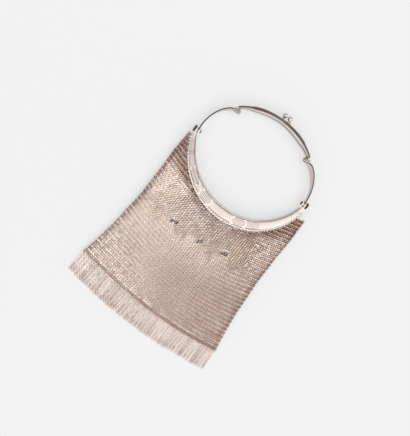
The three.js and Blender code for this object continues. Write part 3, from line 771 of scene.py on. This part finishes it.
# %% Keep the tarnish and painted shade on a skin
def stain_and_shade(bm, values):
    """Keeps the tarnish and painted shade of each point of a skin, in the order in which the skin was drawn.
    """
    layer = bm.verts.layers.float.new("tarnish_and_painted_light")
    for vert, value in zip(bm.verts, values):
        vert[layer] = value


def stain_rest(bm, value):
    """Gives one mask value to the points that have none yet, such as those of a knuckle."""
    layer = bm.verts.layers.float["tarnish_and_painted_light"]
    for vert in bm.verts:
        if vert[layer] == 0:
            vert[layer] = value


# %% Skin the two crescents
ARM_THICKNESS = 1.2
EAR_THICKNESS = 1.1
EAR_RADIUS = 2.4
EAR_ROOT = 4.0
PLAY = 0.3
BACK_EAR = HORN_HALF_SPAN - ARM_THICKNESS / 2 - PLAY - EAR_THICKNESS
FRONT_EAR = HORN_HALF_SPAN + ARM_THICKNESS / 2 + PLAY


def make_crescent(half, name):
    bm = bmesh.new()
    sections = [crescent_section(2 * k / CRESCENT_STEPS - 1, half) for k in range(CRESCENT_STEPS + 1)]
    skin(bm, [[point for point, _ in section] for section in sections])
    stain_and_shade(bm, [dark for section in sections for _, dark in section])
    ear_from = FRONT_EAR if half > 0 else BACK_EAR
    for side in (1, -1):
        disc(bm, side * ear_from, side * (ear_from + EAR_THICKNESS), 0, MIDDLE, EAR_RADIUS)
        block(bm, (side * ear_from, 0, MIDDLE + half * HALF_GAP),
              (side * (ear_from + EAR_THICKNESS), -HORN_TIP - EAR_ROOT, MIDDLE + half * 0.8 * HORN_DEPTH))
    return make_piece(bm, name, "purse", [name.replace("engraved_", "")], 50)


crescents = [make_crescent(half, name) for half, name in ((1, "engraved_crescent_front"),
                                                          (-1, "engraved_crescent_back"))]

# %% [markdown]
# ## The lower hinges
# A headed pin goes through an ear of each crescent and the foot of an arm, and is riveted on the
# inside. It hides its own bore, so here it passes through ears that are left whole. Turned parts are
# spun from a profile, with every edge rounded, because a sharp edge on metal never catches the thin
# line of light that a real one does.

# %% Spin the two lower pins
LOWER_PIN_DIAMETER = 1.8
LOWER_HEAD = (1.8, 6.2)
RIVET = (0.8, 3.2)


def make_lower_pin(side, name):
    bm = bmesh.new()
    shaft_from, shaft_to = BACK_EAR - PLAY, FRONT_EAR + EAR_THICKNESS + PLAY
    disc(bm, side * (shaft_from - RIVET[0]), side * shaft_from, 0, MIDDLE, RIVET[1] / 2, 0.3)
    disc(bm, side * (shaft_from - 0.3), side * (shaft_to + 0.3), 0, MIDDLE, LOWER_PIN_DIAMETER / 2, 0.1)
    disc(bm, side * shaft_to, side * (shaft_to + LOWER_HEAD[0]), 0, MIDDLE, LOWER_HEAD[1] / 2, 0.5)
    return make_piece(bm, name, "purse", [name.replace("headed_", "lower_")])


lower_pins = [make_lower_pin(side, name) for side, name in ((-1, "headed_pin_left"),
                                                            (1, "headed_pin_right"))]

# %% [markdown]
# ## The arms
# Each arm is a strip bent to the ring's curve, deeper at its head than at its foot. Its middle line is
# a straight start and one Bezier curve, and its section is a flat oblong with rounded edges. The upper
# hinge pin is soldered to the arm's head, so it is part of the same piece. The strip's top and bottom
# edges are darkened with painted shade and its faces are left light, which is kept as a mask on the
# skin's points.

# %% Skin the two arms
ARM_FOOT_DEPTH = 5.0
ARM_HEAD_DEPTH = 10.0
ARM_STRAIGHT = 4.2
ARM_BULGE = 13.0
ARM_SHOULDER = 9.5
ARM_DEEPEN = {"at": [0, 0.3, 0.65, 0.9, 1], "share": [0, 0.3, 0.85, 1, 0.2]}
UPPER_HINGE = (42.1, 35.2)
KNUCKLE_RADIUS = 2.1
KNUCKLE_WIDTH = 1.6
UPPER_PIN_DIAMETER = 1.6
UPPER_HEAD = (0.8, 3.2)
ARM_STEPS = 48
KNUCKLE_STAIN = 0.6
# Painted shade on the strip's top and bottom edges.
EDGE_SHADE = 1.0
FACE_STAIN = 0.12
ARM_ROUND = 0.35


def bezier(points, share):
    a, b, c, d = points
    rest = 1 - share
    return a * rest**3 + b * 3 * rest**2 * share + c * 3 * rest * share**2 + d * share**3


def oblong(half_width, half_height, edge, steps=4):
    """A rounded oblong as (across, up) pairs."""
    corners = [(1, 1, 0), (-1, 1, 90), (-1, -1, 180), (1, -1, 270)]
    outline = []
    for sign_x, sign_y, start in corners:
        for k in range(steps + 1):
            turn_angle = math.radians(start + 90 * k / steps)
            outline.append((sign_x * (half_width - edge) + edge * math.cos(turn_angle),
                            sign_y * (half_height - edge) + edge * math.sin(turn_angle)))
    return outline


ARM_HEAD_FROM = UPPER_HINGE[0] - KNUCKLE_WIDTH / 2
ARM_HEAD_TO = UPPER_HINGE[0] + KNUCKLE_WIDTH / 2
FRONT_KNUCKLE = ARM_HEAD_FROM - PLAY - KNUCKLE_WIDTH
BACK_KNUCKLE = FRONT_KNUCKLE - PLAY - KNUCKLE_WIDTH


def make_arm(side, name):
    bm = bmesh.new()
    foot = Vector((HORN_HALF_SPAN, 0, 0))
    start = Vector((HORN_HALF_SPAN, ARM_STRAIGHT, 0))
    head = Vector((ARM_HEAD_TO, UPPER_HINGE[1] - KNUCKLE_RADIUS / 2, 0))
    curve = (start, Vector((HORN_HALF_SPAN, ARM_STRAIGHT + ARM_BULGE, 0)),
             Vector((head.x + ARM_SHOULDER, head.y - ARM_SHOULDER / 3, 0)), head)
    middle_line = [(0.0, foot)]
    middle_line += [(k / ARM_STEPS, bezier(curve, k / ARM_STEPS)) for k in range(ARM_STEPS + 1)]
    sections, stains_and_shade = [], []
    for k, (share, spot) in enumerate(middle_line):
        before = middle_line[max(k - 1, 0)][1]
        after = middle_line[min(k + 1, len(middle_line) - 1)][1]
        way = (after - before).normalized()
        out = Vector((way.y, -way.x, 0))
        deepen = float(np.interp(share, ARM_DEEPEN["at"], ARM_DEEPEN["share"]))
        depth = ARM_FOOT_DEPTH + (ARM_HEAD_DEPTH - ARM_FOOT_DEPTH) * deepen
        section = []
        for across, up in oblong(ARM_THICKNESS / 2, depth / 2, ARM_ROUND):
            point = spot + out * across
            section.append(Vector((side * point.x, point.y, MIDDLE + up)))
            # The strip's top and bottom edges take painted shade, its faces a little tarnish.
            stains_and_shade.append(EDGE_SHADE if abs(up) > depth / 2 - 0.25 else FACE_STAIN)
        sections.append(section)
    skin(bm, sections)
    stain_and_shade(bm, stains_and_shade)
    disc(bm, side * (foot.x - ARM_THICKNESS / 2), side * (foot.x + ARM_THICKNESS / 2), 0, MIDDLE,
         ARM_FOOT_DEPTH / 2)
    disc(bm, side * ARM_HEAD_FROM, side * ARM_HEAD_TO, UPPER_HINGE[1], MIDDLE, KNUCKLE_RADIUS, 0.3)
    pin_from = BACK_KNUCKLE - PLAY
    disc(bm, side * (pin_from - UPPER_HEAD[0]), side * pin_from, UPPER_HINGE[1], MIDDLE,
         UPPER_HEAD[1] / 2, 0.3)
    disc(bm, side * (pin_from - 0.2), side * (ARM_HEAD_TO - PLAY), UPPER_HINGE[1], MIDDLE,
         UPPER_PIN_DIAMETER / 2, 0.1)
    stain_rest(bm, KNUCKLE_STAIN)
    return make_piece(bm, name, "handle", [name.replace("bowed_", "")])


arms = [make_arm(-1, "bowed_arm_left"), make_arm(1, "bowed_arm_right")]

# %% [markdown]
# ## The clasp arcs
# The two arcs close on each other like the jaws of a coin purse. Each swells into a long leaf on both
# sides of its middle and thins to a neck at its knuckles. The leaf's width and depth come from a short
# table. The crowned section bends the reflections into bands, and a mask on the skin's points adds
# a painted dark reflection along the crown and painted shade in the crack between the arcs.

# %% The arcs' curve and section
HANDLE_RISE = 51.5
ARC_WIDTH = 4.4
ARC_NECK = 2.3
ARC_TABLE = {
    "at": [0, 0.25, 0.45, 0.64, 0.76, 0.9, 1],
    "swell": [0.55, 0.8, 1, 0.9, 0.12, 0, 0],
    "depth": [1, 1, 1, 1, 0.96, 0.85, 0.6],
}
ARC_STEPS = 150
ARC_SECTION = [(-0.5, HALF_GAP, False), (-0.5, 0.3, True), (-0.49, 0.55, True), (-0.46, 0.68, True),
               (-0.4, 0.78, True), (-0.3, 0.87, True), (-0.18, 0.94, True), (-0.06, 0.98, True),
               (0.06, 1.0, True), (0.18, 0.97, True), (0.3, 0.9, True), (0.4, 0.81, True),
               (0.46, 0.71, True), (0.49, 0.58, True), (0.5, 0.3, True), (0.5, HALF_GAP, False)]
arc_end_y = UPPER_HINGE[1] + KNUCKLE_RADIUS + ARC_NECK / 2 + PLAY
arc_end_x = FRONT_KNUCKLE + KNUCKLE_WIDTH / 2
arc_radius, arc_lift = circle_through(arc_end_x, HANDLE_RISE - arc_end_y)
arc_centre_y = arc_end_y + arc_lift
arc_reach = math.asin(arc_end_x / arc_radius)


def eased(table, key, at):
    """Reads a table with an eased step between its rows."""
    row = max(k for k, value in enumerate(table["at"][:-1]) if value <= at)
    low, high = table["at"][row], table["at"][row + 1]
    return table[key][row] + (table[key][row + 1] - table[key][row]) * float(smooth(at, low, high))


def arc_width(angle):
    return ARC_NECK + (ARC_WIDTH - ARC_NECK) * eased(ARC_TABLE, "swell", abs(angle) / arc_reach)


def on_arc(angle, outwards):
    radius = arc_radius + outwards
    return Vector((radius * math.sin(angle), arc_centre_y + radius * math.cos(angle)))


print("arc radius", round(arc_radius, 1), "reach", round(math.degrees(arc_reach), 1), "degrees")

# %% Skin the two arcs
# Painted shade in the crack between the arcs.
CRACK_SHADE = 0.95
BRIGHT_STAIN = 0.06


def arc_reflection_and_shade(across, scaled):
    """A painted dark reflection along the crown, bright edges beside it, painted shade in the crack between
    the arcs.
    """
    if not scaled:
        return CRACK_SHADE
    # Painted dark reflection along the crown.
    band = float(smooth(across, -0.4, -0.28) * (1 - smooth(across, 0.22, 0.42)))
    return BRIGHT_STAIN + (1 - BRIGHT_STAIN) * band


def make_arc(half, name, body):
    bm = bmesh.new()
    sections, stains_and_shade = [], []
    for k in range(ARC_STEPS + 1):
        angle = arc_reach * (2 * k / ARC_STEPS - 1)
        width = arc_width(angle)
        depth = MIDDLE * eased(ARC_TABLE, "depth", min(1, abs(angle) / arc_reach))
        section = []
        stains_and_shade += [arc_reflection_and_shade(across, scaled) for across, _, scaled in ARC_SECTION]
        for across, height, scaled in ARC_SECTION:
            spot = on_arc(angle, across * width)
            section.append(Vector((spot.x, spot.y, MIDDLE + half * height * (depth if scaled else 1))))
        sections.append(section)
    skin(bm, sections)
    stain_and_shade(bm, stains_and_shade)
    knuckle = FRONT_KNUCKLE if half > 0 else BACK_KNUCKLE
    for side in (1, -1):
        ends = (side * knuckle, side * (knuckle + KNUCKLE_WIDTH))
        disc(bm, *ends, UPPER_HINGE[1], MIDDLE, KNUCKLE_RADIUS, 0.3)
        block(bm, (ends[0], UPPER_HINGE[1], MIDDLE + half * HALF_GAP),
              (ends[1], arc_end_y + ARC_NECK / 4, MIDDLE + half * KNUCKLE_RADIUS))
    stain_rest(bm, KNUCKLE_STAIN)
    return make_piece(bm, name, body, [name.replace("leaf_", "")])


arcs = [make_arc(1, "leaf_arc_front", "front_arc"), make_arc(-1, "leaf_arc_back", "back_arc")]

# %% [markdown]
# ## The kiss lock
# Two balls on short posts snap past each other. Each stands on a little tapered foot that is soldered
# to its own arc, one ball on each side of the middle. The post could be a plain cylinder, but a
# profile spun round the line from foot to ball takes its place and its rounded ends at once.

# %% Make the two clasp pieces
BALL_DIAMETER = 4.7
BALL_SPACE = 0.8
BALL_REACH = 5.2
CLASP_OFFSET = 3.0
FOOT_LENGTH, FOOT_RISE, FOOT_TIP, FOOT_HEIGHT = 6.4, 2.2, 1.9, 3.0
POST_DIAMETER = 1.5


def make_clasp(half, name, body):
    bm = bmesh.new()
    x = CLASP_OFFSET + half * (BALL_DIAMETER + BALL_SPACE) / 2
    angle = math.asin(x / arc_radius)
    wall = arc_width(angle) / 2
    height = MIDDLE + half * (FOOT_HEIGHT / 2 + PLAY)
    spread, tip_spread = FOOT_LENGTH / 2 / arc_radius, FOOT_TIP / 2 / arc_radius
    sections = []
    for share in (0, 0.25, 0.5, 0.75, 1):
        wide = spread + (tip_spread - spread) * share**0.7
        low = on_arc(angle - wide, wall + FOOT_RISE * share)
        high = on_arc(angle + wide, wall + FOOT_RISE * share)
        middle, reach = (low + high) / 2, (high - low) / 2
        section = []
        for across, up in oblong(1, FOOT_HEIGHT / 2 * (1 - 0.25 * share), 0.4):
            spot = middle + reach * across
            section.append(Vector((spot.x, spot.y, height + up)))
        sections.append(section)
    skin(bm, sections)
    root = on_arc(angle, wall + FOOT_RISE / 2)
    root = Vector((root.x, root.y, height))
    centre = Vector((x, on_arc(angle, wall).y + BALL_REACH, MIDDLE))
    turn(bm, rounded((centre - root).length, POST_DIAMETER / 2, 0.2), root, centre - root)
    collar = [(0.0, 0.0), (0.0, 1.0), (0.25, 1.25), (0.5, 1.0), (0.5, 0.0)]
    way = (centre - root).normalized()
    turn(bm, collar, centre - way * (BALL_DIAMETER / 2 + 0.2), way)
    ball = bmesh.ops.create_uvsphere(bm, u_segments=32, v_segments=20, radius=BALL_DIAMETER / 2)
    bmesh.ops.translate(bm, vec=centre, verts=ball["verts"])
    return make_piece(bm, name, body, [name.replace("kiss_", "")])


clasps = [make_clasp(1, "kiss_clasp_front", "front_arc"), make_clasp(-1, "kiss_clasp_back", "back_arc")]

# %% [markdown]
# ## The rings that hang the bag
# The mesh is hung by a row of open rings, which on the real frame go through small holes in the rim.
# They stand on edge across the rim, which gives it the beaded look. Here each sinks a little into the
# rim and would cover its hole, so none is cut. An array along a curve would do, but copies laid in
# code follow the rim's changing depth and each leans a little differently.

# %% Hang the bag from both rims
HANGER_RADIUS = 1.35
HANGER_WIRE = 0.5
HANGER_PITCH = 2.9
HANGER_STOP = -9.2
HANGER_INSET = 0.25
HANGER_SINK = 0.7
HANGER_LEAN = math.radians(8)
HANGER_AGE = (0.35, 0.12)
hanger_ring = ring_template(HANGER_RADIUS, HANGER_WIRE, 12, 6)
hanger_reach = lower_angle(rim, HANGER_STOP)
hanger_count = round(2 * hanger_reach * rim[0] / HANGER_PITCH)


def hangers(half):
    spots, ways, ages = [], [], []
    for k in range(hanger_count + 1):
        angle = hanger_reach * (2 * k / hanger_count - 1)
        spot = on_lower_arc(rim, angle, -HANGER_INSET)
        way = Vector((math.sin(angle), -math.cos(angle), 0))
        depth = float(crescent_half_depth(math.degrees(angle)))
        spots.append((spot.x, spot.y, MIDDLE + half * (crest(0.95) * depth - HANGER_SINK)))
        lean_over = rng.normal(0, HANGER_LEAN)
        side_way = Vector((-way.y, way.x, 0))
        up = Vector((0, 0, 1)) * math.cos(lean_over) + side_way * math.sin(lean_over)
        ways.append([way[:], up[:], way.cross(up)[:]])
        ages.append(HANGER_AGE[0] + rng.normal(0, HANGER_AGE[1]))
    return np.array(spots), np.array(ways), np.clip(ages, 0, 1)


hanger_pieces = []
for half, name in ((1, "rim_rings_front"), (-1, "rim_rings_back")):
    spots, ways, ages = hangers(half)
    hanger_pieces.append(lay_copies(hanger_ring, spots, ways, ages, name, "purse"))
print("rings along each rim:", hanger_count + 1)

# %% [markdown]
# ## The fringe
# Short chains of oval links hang side by side from the last row of the bag. The links of a chain are
# twisted turn about, one to each side. A chain could be an array on a curve, but here one oval link
# is drawn, by squeezing a spun ring, and each chain is laid out along its own line with a little
# sway, a little difference in length and a shade of its own.

# %% Draw the oval link
LINK_HALF_WIDTH = 1.12
LINK_HALF_LENGTH = 1.3
LINK_WIRE = 0.48
round_link, link_faces = ring_template(1, LINK_WIRE, 10, 4)
reach = np.hypot(round_link[:, 0], round_link[:, 1])[:, None]
heading_in_plane = round_link[:, :2] / reach
oval = heading_in_plane * (np.array([LINK_HALF_WIDTH, LINK_HALF_LENGTH]) + (reach - 1))
link = (np.column_stack([oval, round_link[:, 2]]), link_faces)
print("an oval link has", len(link_faces), "faces")

# %% Lay the fringe
LINK_PITCH = 1.5
FRINGE_LENGTH = 19.0
FRINGE_PITCH = 3.1
LINK_TWISTS = (-34, 22)
UNEVEN_TWIST = math.radians(5)
CHAIN_OVERLAP = 0.4
CHAIN_SWAY = math.radians(1.6)
CHAIN_UNEVEN = 0.012
CHAIN_AGE = (0.08, 0.09)
TIP_AGE = 0.4
HEADING_AGE = 0.15
HEADING_RISE = 1.6
STRANDS = round(BOTTOM_WIDTH / FRINGE_PITCH)

spots, ways, ages = [], [], []
for strand in range(STRANDS):
    across = -1 + (2 * strand + 1) / STRANDS
    top = plan_point([across], 1)[0] + DOWN * CHAIN_OVERLAP
    sway = rng.normal(0, CHAIN_SWAY)
    way = np.array([*(DOWN * math.cos(sway) + ACROSS * math.sin(sway)), 0])
    side_way = np.array([*(ACROSS * math.cos(sway) - DOWN * math.sin(sway)), 0])
    length = FRINGE_LENGTH * (1 + rng.normal(0, CHAIN_UNEVEN)) - CHAIN_OVERLAP
    links = int(length / LINK_PITCH)
    shade = rng.normal(*CHAIN_AGE)
    for k in range(links):
        fall = (k + 0.5) * length / links
        twist = math.radians(LINK_TWISTS[k % 2]) + rng.normal(0, UNEVEN_TWIST)
        rest_height = LINK_HALF_WIDTH * abs(math.sin(twist)) + LINK_WIRE / 2
        height = rest_height + HEADING_RISE * math.exp(-fall / 2.5)
        spots.append([top[0] + way[0] * fall, top[1] + way[1] * fall, height])
        flat = side_way * math.cos(twist) + np.array([0, 0, 1]) * math.sin(twist)
        ways.append([flat, way, np.cross(flat, way)])
        ages.append(shade + TIP_AGE * (fall / length) ** 3 + HEADING_AGE * math.exp(-fall / 2))
fringe_piece = lay_copies(link, np.array(spots), np.array(ways), np.clip(ages, 0, 1),
                          "fringe_chains", "purse", ["fringe"])
print("strands", STRANDS, "links", len(spots))

# %% [markdown]
# ## Finishes
# Nickel silver warms to rose as it ages. A shared group mixes a clean metal with a tarnished one by
# a mask and by soft noise, so each material only says its own two colours and how rough they are.
# On the rings, arcs and arms the mask also carries painted shade, light and reflection.
# Separate materials without a group would do, but then each change would be made six times.

# %% The shared tarnish group
def tarnish_group():
    group = bpy.data.node_groups.new("tarnish_and_painted_light", "ShaderNodeTree")
    for name, kind, value in (("Clean", "NodeSocketColor", (0.8, 0.7, 0.65, 1)),
                              ("Tarnished", "NodeSocketColor", (0.3, 0.2, 0.15, 1)),
                              ("Mask", "NodeSocketFloat", 0.0), ("Cloud Scale", "NodeSocketFloat", 60.0),
                              ("Cloud Amount", "NodeSocketFloat", 0.3),
                              ("Clean Roughness", "NodeSocketFloat", 0.3),
                              ("Tarnished Roughness", "NodeSocketFloat", 0.5)):
        socket = group.interface.new_socket(name, in_out="INPUT", socket_type=kind)
        socket.default_value = value
    group.interface.new_socket("Color", in_out="OUTPUT", socket_type="NodeSocketColor")
    group.interface.new_socket("Roughness", in_out="OUTPUT", socket_type="NodeSocketFloat")
    nodes, links = group.nodes, group.links
    inside = nodes.new("NodeGroupInput")
    outside = nodes.new("NodeGroupOutput")
    where = nodes.new("ShaderNodeTexCoord")
    cloud = nodes.new("ShaderNodeTexNoise")
    cloud.inputs["Detail"].default_value = 4
    links.new(where.outputs["Object"], cloud.inputs["Vector"])
    links.new(inside.outputs["Cloud Scale"], cloud.inputs["Scale"])
    centred = nodes.new("ShaderNodeMath")
    centred.operation = "SUBTRACT"
    links.new(cloud.outputs["Fac"], centred.inputs[0])
    centred.inputs[1].default_value = 0.5
    weighed = nodes.new("ShaderNodeMath")
    weighed.operation = "MULTIPLY_ADD"
    weighed.use_clamp = True
    links.new(centred.outputs[0], weighed.inputs[0])
    links.new(inside.outputs["Cloud Amount"], weighed.inputs[1])
    links.new(inside.outputs["Mask"], weighed.inputs[2])
    colour = nodes.new("ShaderNodeMix")
    colour.data_type = "RGBA"
    links.new(weighed.outputs[0], colour.inputs["Factor"])
    links.new(inside.outputs["Clean"], colour.inputs["A"])
    links.new(inside.outputs["Tarnished"], colour.inputs["B"])
    rough = nodes.new("ShaderNodeMix")
    links.new(weighed.outputs[0], rough.inputs["Factor"])
    links.new(inside.outputs["Clean Roughness"], rough.inputs["A"])
    links.new(inside.outputs["Tarnished Roughness"], rough.inputs["B"])
    links.new(colour.outputs["Result"], outside.inputs["Color"])
    links.new(rough.outputs["Result"], outside.inputs["Roughness"])
    return group


TARNISH = tarnish_group()
print("the tarnish group has", len(TARNISH.interface.items_tree), "sockets")


def metal(name, clean, tarnished, roughness, cloud=(60.0, 0.3), mask=None):
    """A metal that tarnishes by the piece's own mask, where it has one."""
    material = bpy.data.materials.new(name)
    material.use_nodes = True
    nodes, links = material.node_tree.nodes, material.node_tree.links
    shader = nodes["Principled BSDF"]
    shader.inputs["Metallic"].default_value = 1.0
    aged = nodes.new("ShaderNodeGroup")
    aged.node_tree = TARNISH
    aged.inputs["Clean"].default_value = (*clean, 1)
    aged.inputs["Tarnished"].default_value = (*tarnished, 1)
    for socket, value in zip(("Clean Roughness", "Tarnished Roughness"), roughness):
        aged.inputs[socket].default_value = value
    for socket, value in zip(("Cloud Scale", "Cloud Amount"), cloud):
        aged.inputs[socket].default_value = value
    if mask:
        read = nodes.new("ShaderNodeAttribute")
        read.attribute_name = mask
        links.new(read.outputs["Fac"], aged.inputs["Mask"])
    links.new(aged.outputs["Color"], shader.inputs["Base Color"])
    links.new(aged.outputs["Roughness"], shader.inputs["Roughness"])
    return material


# %% The ring mesh's finish
# Each finish is given as clean colour, tarnished colour, both roughnesses, cloud and mask.
# On the rings the tarnished colour also paints shade: on the sunken rows, on every fourth row and inside the
# slits.
ring_metal = metal("ring_metal", (0.99, 0.865, 0.775), (0.27, 0.135, 0.09), (0.28, 0.5),
                   (45.0, 0.15), "tarnish_and_painted_light")
for piece in mesh_pieces.values():
    piece.data.materials.append(ring_metal)

# %% The frame's finishes
plate_metal = metal("plate_metal", (0.80, 0.73, 0.68), (0.2, 0.16, 0.14), (0.46, 0.6),
                    (90.0, 0.15), "tarnish_and_painted_light")
# Its near-black tarnished colour paints the dark reflection along the arcs' crowns and the shade in their
# crack and on the arms' edges.
polished_metal = metal("polished_metal", (0.74, 0.66, 0.64), (0.08, 0.06, 0.055), (0.14, 0.34),
                       (70.0, 0.2), "tarnish_and_painted_light")
pin_metal = metal("pin_metal", (0.06, 0.045, 0.04), (0.03, 0.022, 0.02), (0.3, 0.45), (120.0, 0.5))
# The clasp's heavy cloud of near-black blotches paints the dark reflections on the balls.
clasp_silver = metal("clasp_silver", (0.52, 0.45, 0.42), (0.06, 0.045, 0.04), (0.1, 0.3), (260.0, 1.6))
fringe_metal = metal("fringe_metal", (0.76, 0.645, 0.57), (0.3, 0.165, 0.115), (0.3, 0.5),
                     (60.0, 0.2), "tarnish_and_painted_light")
for finish, dressed in ((plate_metal, crescents), (polished_metal, arms + arcs), (pin_metal, lower_pins),
                        (clasp_silver, clasps), (ring_metal, hanger_pieces), (fringe_metal, [fringe_piece])):
    for piece in dressed:
        piece.data.materials.append(finish)
    print(finish.name, "on", len(dressed), "pieces")
